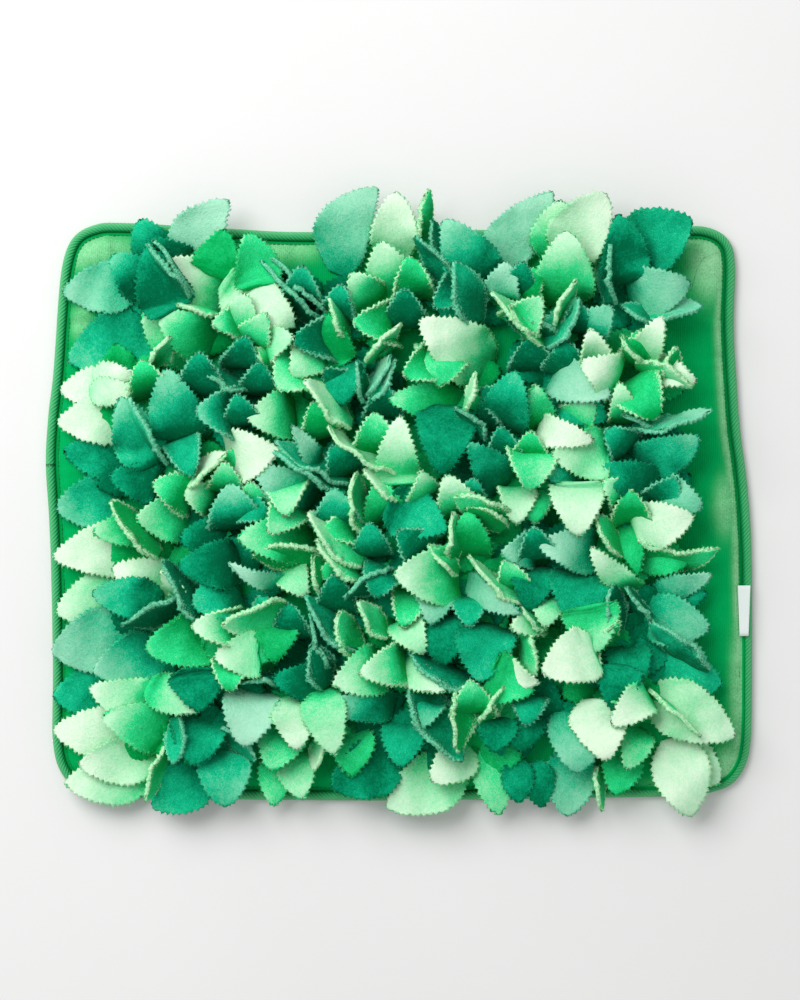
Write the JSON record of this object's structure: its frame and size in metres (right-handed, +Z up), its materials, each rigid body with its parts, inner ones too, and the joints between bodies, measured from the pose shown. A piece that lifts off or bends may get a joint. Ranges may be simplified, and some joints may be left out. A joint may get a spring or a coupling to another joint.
{
  "type": "snuffle mat",
  "caption": "Flat filled plush mat with a corded edge, covered in sewn tufts of leaf-shaped fleece in two greens, for hiding dry food.",
  "frame": {"origin": "middle of the mat's flat underside, on the floor", "axes": "+X along the long side towards the side with the label, +Y across the mat, +Z up out of the leaves"},
  "size_m": [0.6053, 0.5407, 0.0731],
  "materials": {
    "plush": "short-pile plush with fine upright wales",
    "piping": "twill-covered round cord",
    "label": "blank woven satin tape",
    "fleece_mint": "soft napped fleece with pinked edges",
    "fleece_teal": "frosted napped fleece with pinked edges"
  },
  "bodies": {
    "root": {"mat_pad": "plush", "edge_piping": "piping", "side_label": "label", "tuft_01": "fleece_teal", "tuft_02": "fleece_mint", "tuft_03": "fleece_teal", "tuft_04": "fleece_mint", "tuft_05": "fleece_teal", "tuft_06": "fleece_mint", "tuft_07": "fleece_teal", "tuft_08": "fleece_mint", "tuft_09": "fleece_teal", "tuft_10": "fleece_mint", "tuft_11": "fleece_teal", "tuft_12": "fleece_mint", "tuft_13": "fleece_teal", "tuft_14": "fleece_teal", "tuft_15": "fleece_mint", "tuft_16": "fleece_teal", "tuft_17": "fleece_mint", "tuft_18": "fleece_teal", "tuft_19": "fleece_mint", "tuft_20": "fleece_teal", "tuft_21": "fleece_mint", "tuft_22": "fleece_mint", "tuft_23": "fleece_teal", "tuft_24": "fleece_mint", "tuft_25": "fleece_teal", "tuft_26": "fleece_mint", "tuft_27": "fleece_teal", "tuft_28": "fleece_mint", "tuft_29": "fleece_mint", "tuft_30": "fleece_teal", "tuft_31": "fleece_mint", "tuft_32": "fleece_teal", "tuft_33": "fleece_mint", "tuft_34": "fleece_teal", "tuft_35": "fleece_mint", "tuft_36": "fleece_teal", "tuft_37": "fleece_mint", "tuft_38": "fleece_teal", "tuft_39": "fleece_mint", "tuft_40": "fleece_teal", "tuft_41": "fleece_mint", "tuft_42": "fleece_teal", "tuft_43": "fleece_mint", "tuft_44": "fleece_teal", "tuft_45": "fleece_mint", "tuft_46": "fleece_teal", "tuft_47": "fleece_mint", "tuft_48": "fleece_teal", "tuft_49": "fleece_mint", "tuft_50": "fleece_teal", "tuft_51": "fleece_mint", "tuft_52": "fleece_teal", "tuft_53": "fleece_mint", "tuft_54": "fleece_teal", "tuft_55": "fleece_teal", "tuft_56": "fleece_mint", "tuft_57": "fleece_mint"}
  },
  "joints": []
}
